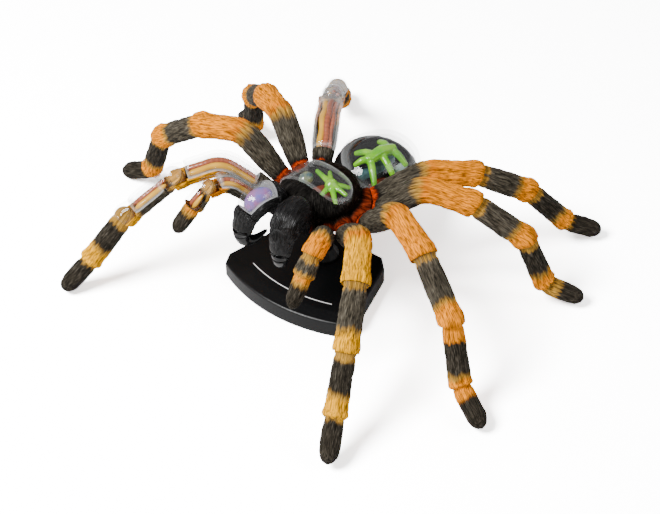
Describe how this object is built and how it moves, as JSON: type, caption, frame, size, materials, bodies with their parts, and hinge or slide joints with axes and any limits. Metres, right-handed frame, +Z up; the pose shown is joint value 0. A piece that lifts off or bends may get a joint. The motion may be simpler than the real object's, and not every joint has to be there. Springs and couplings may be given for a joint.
{
  "type": "tarantula anatomy model",
  "caption": "Tabletop tarantula anatomy model on a black stand: banded furry legs turn on pegs, and clear covers lift off muscles, glands and gut.",
  "frame": {"origin": "underside of the stand base, below the middle of the front body", "axes": "+Z up, the head faces -Y, the model's left side is +X"},
  "size_m": [0.2128, 0.1749, 0.0604],
  "materials": {
    "black_fur": "black plastic moulded with a fur texture, dry-brushed",
    "black_plastic": "satin black plastic",
    "claw": "glossy black plastic",
    "clear": "clear plastic, polished",
    "gland_pale": "glossy pale blue plastic",
    "gland_purple": "glossy violet plastic",
    "gland_teal": "glossy dark teal plastic",
    "gut_green": "glossy lime-green plastic",
    "leg_fur": "orange and dark grey banded plastic moulded with a fur texture",
    "muscle": "glossy yellow-tan plastic",
    "organ_red": "glossy red-brown plastic",
    "organ_yellow": "glossy olive-yellow plastic"
  },
  "bodies": {
    "stand": {"stand_base": "black_plastic", "stand_post": "black_plastic"},
    "body": {"body_underside": "black_fur", "carapace_shell": "black_fur", "stomach": "gut_green", "brain": "muscle", "front_gland": "gland_teal", "front_muscle": "organ_red", "belly_shell": "black_fur", "gut_tree": "gut_green", "silk_gland": "gland_teal", "ovary": "gland_pale", "hind_gut": "organ_red", "book_lung": "organ_yellow"},
    "carapace_window": {"carapace_window": "clear"},
    "belly_window": {"belly_window": "clear"},
    "jaw_left": {"jaw_left": "black_fur"},
    "fang_left": {"fang_left": "claw"},
    "jaw_right": {"jaw_right": "black_fur", "venom_gland": "gland_purple"},
    "fang_right": {"fang_right": "claw"},
    "jaw_window": {"jaw_right_window": "clear"},
    "leg_left_1": {"leg_left_1_upper": "leg_fur"},
    "leg_left_1_shin": {"leg_left_1_tibia": "leg_fur"},
    "leg_left_1_foot": {"leg_left_1_foot": "leg_fur"},
    "leg_right_1": {"leg_right_1_upper": "leg_fur", "leg_right_1_upper_muscle": "muscle"},
    "leg_right_1_shin": {"leg_right_1_tibia": "leg_fur", "leg_right_1_tibia_muscle": "muscle"},
    "leg_right_1_foot": {"leg_right_1_foot": "leg_fur"},
    "leg_right_1_upper_cover": {"leg_right_1_upper_cover": "clear"},
    "leg_right_1_tibia_cover": {"leg_right_1_tibia_cover": "clear"},
    "leg_left_2": {"leg_left_2_upper": "leg_fur"},
    "leg_left_2_shin": {"leg_left_2_tibia": "leg_fur"},
    "leg_left_2_foot": {"leg_left_2_foot": "leg_fur"},
    "leg_right_2": {"leg_right_2_upper": "leg_fur"},
    "leg_right_2_shin": {"leg_right_2_tibia": "leg_fur"},
    "leg_right_2_foot": {"leg_right_2_foot": "leg_fur"},
    "leg_left_3": {"leg_left_3_upper": "leg_fur"},
    "leg_left_3_shin": {"leg_left_3_tibia": "leg_fur"},
    "leg_left_3_foot": {"leg_left_3_foot": "leg_fur"},
    "leg_right_3": {"leg_right_3_upper": "leg_fur"},
    "leg_right_3_shin": {"leg_right_3_tibia": "leg_fur"},
    "leg_right_3_foot": {"leg_right_3_foot": "leg_fur"},
    "leg_left_4": {"leg_left_4_upper": "leg_fur"},
    "leg_left_4_shin": {"leg_left_4_tibia": "leg_fur"},
    "leg_left_4_foot": {"leg_left_4_foot": "leg_fur"},
    "leg_right_4": {"leg_right_4_upper": "leg_fur", "leg_right_4_upper_muscle": "muscle"},
    "leg_right_4_shin": {"leg_right_4_tibia": "leg_fur", "leg_right_4_tibia_muscle": "muscle"},
    "leg_right_4_foot": {"leg_right_4_foot": "leg_fur"},
    "leg_right_4_upper_cover": {"leg_right_4_upper_cover": "clear"},
    "leg_right_4_tibia_cover": {"leg_right_4_tibia_cover": "clear"},
    "palp_left": {"palp_left_upper": "leg_fur"},
    "palp_left_tip": {"palp_left_lower": "leg_fur"},
    "palp_right": {"palp_right_upper": "leg_fur", "palp_right_muscle": "muscle"},
    "palp_right_tip": {"palp_right_lower": "leg_fur"},
    "palp_right_cover": {"palp_right_cover": "clear"}
  },
  "joints": [
    {"name": "lift_off_stand", "type": "slide", "parent": "stand", "child": "body", "axis": [0, 0, 1], "range_m": [0, 0.03]},
    {"name": "carapace_window_lift", "type": "slide", "parent": "body", "child": "carapace_window", "axis": [0, 0, 1], "range_m": [0, 0.02]},
    {"name": "belly_window_lift", "type": "slide", "parent": "body", "child": "belly_window", "axis": [-0.0501, 0.3308, 0.9424], "range_m": [0, 0.025]},
    {"name": "jaw_left_swivel", "type": "hinge", "parent": "body", "child": "jaw_left", "pos_m": [0.006, -0.0208, 0.0392], "axis": [0, 1, 0], "range_deg": [-1, 5]},
    {"name": "fang_left_hinge", "type": "hinge", "parent": "jaw_left", "child": "fang_left", "pos_m": [0.0101, -0.0376, 0.0422], "axis": [-1, 0, 0], "range_deg": [-15, 15]},
    {"name": "jaw_right_swivel", "type": "hinge", "parent": "body", "child": "jaw_right", "pos_m": [-0.006, -0.0208, 0.0392], "axis": [0, -1, 0], "range_deg": [-1, 5]},
    {"name": "fang_right_hinge", "type": "hinge", "parent": "jaw_right", "child": "fang_right", "pos_m": [-0.0101, -0.0376, 0.0422], "axis": [-1, 0, 0], "range_deg": [-15, 15]},
    {"name": "jaw_window_lift", "type": "slide", "parent": "jaw_right", "child": "jaw_window", "axis": [-0.5239, -0.1319, 0.8415], "range_m": [0, 0.008]},
    {"name": "leg_left_1_swivel", "type": "hinge", "parent": "body", "child": "leg_left_1", "pos_m": [0.0208, -0.0128, 0.0388], "axis": [0.766, -0.6428, 0], "range_deg": [-10, 10]},
    {"name": "leg_left_1_knee", "type": "hinge", "parent": "leg_left_1", "child": "leg_left_1_shin", "pos_m": [0.04834, -0.03784, 0.04847], "axis": [-0.6287, -0.7493, 0.2079], "range_deg": [-8, 18]},
    {"name": "leg_left_1_ankle", "type": "hinge", "parent": "leg_left_1_shin", "child": "leg_left_1_foot", "pos_m": [0.05949, -0.05593, 0.03411], "axis": [-0.6287, -0.7493, 0.2079], "range_deg": [-10, 14]},
    {"name": "leg_right_1_swivel", "type": "hinge", "parent": "body", "child": "leg_right_1", "pos_m": [-0.0208, -0.0128, 0.0388], "axis": [-0.7193, -0.6947, 0], "range_deg": [0, 10]},
    {"name": "leg_right_1_knee", "type": "hinge", "parent": "leg_right_1", "child": "leg_right_1_shin", "pos_m": [-0.04583, -0.04042, 0.04826], "axis": [-0.6909, 0.7154, -0.1045], "range_deg": [-8, 18]},
    {"name": "leg_right_1_ankle", "type": "hinge", "parent": "leg_right_1_shin", "child": "leg_right_1_foot", "pos_m": [-0.05676, -0.05814, 0.03328], "axis": [-0.6909, 0.7154, -0.1045], "range_deg": [-10, 14]},
    {"name": "leg_right_1_upper_cover_lift", "type": "slide", "parent": "leg_right_1", "child": "leg_right_1_upper_cover", "axis": [0.101, 0.2095, 0.9726], "range_m": [0, 0.012]},
    {"name": "leg_right_1_tibia_cover_lift", "type": "slide", "parent": "leg_right_1_shin", "child": "leg_right_1_tibia_cover", "axis": [-0.4121, -0.4264, 0.8052], "range_m": [0, 0.012]},
    {"name": "leg_left_2_swivel", "type": "hinge", "parent": "body", "child": "leg_left_2", "pos_m": [0.023, -0.0027, 0.0388], "axis": [0.9816, -0.1908, 0], "range_deg": [-10, 10]},
    {"name": "leg_left_2_knee", "type": "hinge", "parent": "leg_left_2", "child": "leg_left_2_shin", "pos_m": [0.05928, -0.01188, 0.05076], "axis": [-0.1903, -0.9792, 0.0698], "range_deg": [-8, 18]},
    {"name": "leg_left_2_ankle", "type": "hinge", "parent": "leg_left_2_shin", "child": "leg_left_2_foot", "pos_m": [0.07999, -0.02013, 0.03552], "axis": [-0.1903, -0.9792, 0.0698], "range_deg": [-10, 14]},
    {"name": "leg_right_2_swivel", "type": "hinge", "parent": "body", "child": "leg_right_2", "pos_m": [-0.023, -0.0027, 0.0388], "axis": [-0.9962, -0.0872, 0], "range_deg": [-10, 10]},
    {"name": "leg_right_2_knee", "type": "hinge", "parent": "leg_right_2", "child": "leg_right_2_shin", "pos_m": [-0.05983, -0.01047, 0.05006], "axis": [-0.0863, 0.9865, 0.1392], "range_deg": [-8, 18]},
    {"name": "leg_right_2_ankle", "type": "hinge", "parent": "leg_right_2_shin", "child": "leg_right_2_foot", "pos_m": [-0.08157, -0.01326, 0.0343], "axis": [-0.0863, 0.9865, 0.1392], "range_deg": [-10, 14]},
    {"name": "leg_left_3_swivel", "type": "hinge", "parent": "body", "child": "leg_left_3", "pos_m": [0.0213, 0.0069, 0.0388], "axis": [0.8387, 0.5446, 0], "range_deg": [-10, 10]},
    {"name": "leg_left_3_knee", "type": "hinge", "parent": "leg_left_3", "child": "leg_left_3_shin", "pos_m": [0.05353, 0.02558, 0.04817], "axis": [0.5439, -0.8375, -0.0523], "range_deg": [-8, 18]},
    {"name": "leg_left_3_ankle", "type": "hinge", "parent": "leg_left_3_shin", "child": "leg_left_3_foot", "pos_m": [0.07148, 0.03642, 0.0334], "axis": [0.5439, -0.8375, -0.0523], "range_deg": [-10, 14]},
    {"name": "leg_right_3_swivel", "type": "hinge", "parent": "body", "child": "leg_right_3", "pos_m": [-0.0213, 0.0069, 0.0388], "axis": [-0.8746, 0.4848, 0], "range_deg": [-10, 10]},
    {"name": "leg_right_3_knee", "type": "hinge", "parent": "leg_right_3", "child": "leg_right_3_shin", "pos_m": [-0.05499, 0.02286, 0.04806], "axis": [0.4822, 0.8698, 0.1045], "range_deg": [-8, 18]},
    {"name": "leg_right_3_ankle", "type": "hinge", "parent": "leg_right_3_shin", "child": "leg_right_3_foot", "pos_m": [-0.07328, 0.0331, 0.03327], "axis": [0.4822, 0.8698, 0.1045], "range_deg": [-10, 14]},
    {"name": "leg_left_4_swivel", "type": "hinge", "parent": "body", "child": "leg_left_4", "pos_m": [0.0148, 0.013, 0.0388], "axis": [0.5878, 0.809, 0], "range_deg": [-10, 10]},
    {"name": "leg_left_4_knee", "type": "hinge", "parent": "leg_left_4", "child": "leg_left_4_shin", "pos_m": [0.03864, 0.04631, 0.04218], "axis": [0.8059, -0.5855, 0.0872], "range_deg": [-8, 18]},
    {"name": "leg_left_4_ankle", "type": "hinge", "parent": "leg_left_4_shin", "child": "leg_left_4_foot", "pos_m": [0.0527, 0.06382, 0.02979], "axis": [0.8059, -0.5855, 0.0872], "range_deg": [-10, 14]},
    {"name": "leg_right_4_swivel", "type": "hinge", "parent": "body", "child": "leg_right_4", "pos_m": [-0.0148, 0.013, 0.0388], "axis": [-0.5878, 0.809, 0], "range_deg": [-10, 10]},
    {"name": "leg_right_4_knee", "type": "hinge", "parent": "leg_right_4", "child": "leg_right_4_shin", "pos_m": [-0.03883, 0.04617, 0.04219], "axis": [0.8089, 0.5877, -0.0175], "range_deg": [-8, 18]},
    {"name": "leg_right_4_ankle", "type": "hinge", "parent": "leg_right_4_shin", "child": "leg_right_4_foot", "pos_m": [-0.05219, 0.06419, 0.02976], "axis": [0.8089, 0.5877, -0.0175], "range_deg": [-10, 14]},
    {"name": "leg_right_4_upper_cover_lift", "type": "slide", "parent": "leg_right_4", "child": "leg_right_4_upper_cover", "axis": [0.0551, -0.0462, 0.9974], "range_m": [0, 0.012]},
    {"name": "leg_right_4_tibia_cover_lift", "type": "slide", "parent": "leg_right_4_shin", "child": "leg_right_4_tibia_cover", "axis": [-0.2726, 0.4012, 0.8745], "range_m": [0, 0.012]},
    {"name": "palp_left_swivel", "type": "hinge", "parent": "body", "child": "palp_left", "pos_m": [0.0152, -0.0192, 0.0388], "axis": [0.5446, -0.8387, 0], "range_deg": [-10, 10]},
    {"name": "palp_left_knuckle", "type": "hinge", "parent": "palp_left", "child": "palp_left_tip", "pos_m": [0.02779, -0.03884, 0.05123], "axis": [-0.8259, -0.5364, 0.1736], "range_deg": [-8, 14]},
    {"name": "palp_right_swivel", "type": "hinge", "parent": "body", "child": "palp_right", "pos_m": [-0.0152, -0.0192, 0.0388], "axis": [-0.6293, -0.7771, 0], "range_deg": [-10, 0]},
    {"name": "palp_right_knuckle", "type": "hinge", "parent": "palp_right", "child": "palp_right_tip", "pos_m": [-0.02876, -0.03823, 0.05115], "axis": [-0.7753, 0.6278, -0.0698], "range_deg": [-8, 14]},
    {"name": "palp_right_cover_lift", "type": "slide", "parent": "palp_right", "child": "palp_right_cover", "axis": [0, 0, 1], "range_m": [0, 0.004]}
  ]
}
